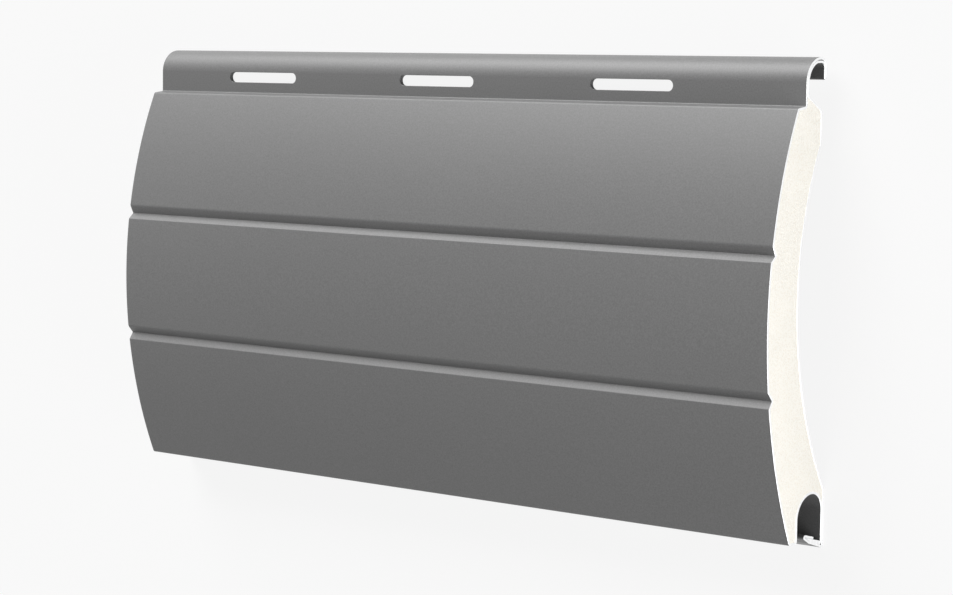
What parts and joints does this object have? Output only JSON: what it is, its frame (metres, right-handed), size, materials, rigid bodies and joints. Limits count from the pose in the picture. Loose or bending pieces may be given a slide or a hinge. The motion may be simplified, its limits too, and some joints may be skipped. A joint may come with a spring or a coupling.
{
  "type": "roller shutter slat",
  "caption": "Bowed roller shutter slat: painted roll-formed aluminium skin with grooves, slotted neck, hook and lipped pocket round a foam core.",
  "frame": {"origin": "middle of the slat's box, on the plane that it rests on", "axes": "+X along the slat, +Y from the bottom pocket towards the top hook, +Z out of the painted face"},
  "size_m": [0.166, 0.0878, 0.0185],
  "materials": {
    "painted_aluminium": "satin",
    "foam": "matte"
  },
  "bodies": {
    "root": {"slat_skin": "painted_aluminium", "foam_core": "foam"}
  },
  "joints": []
}
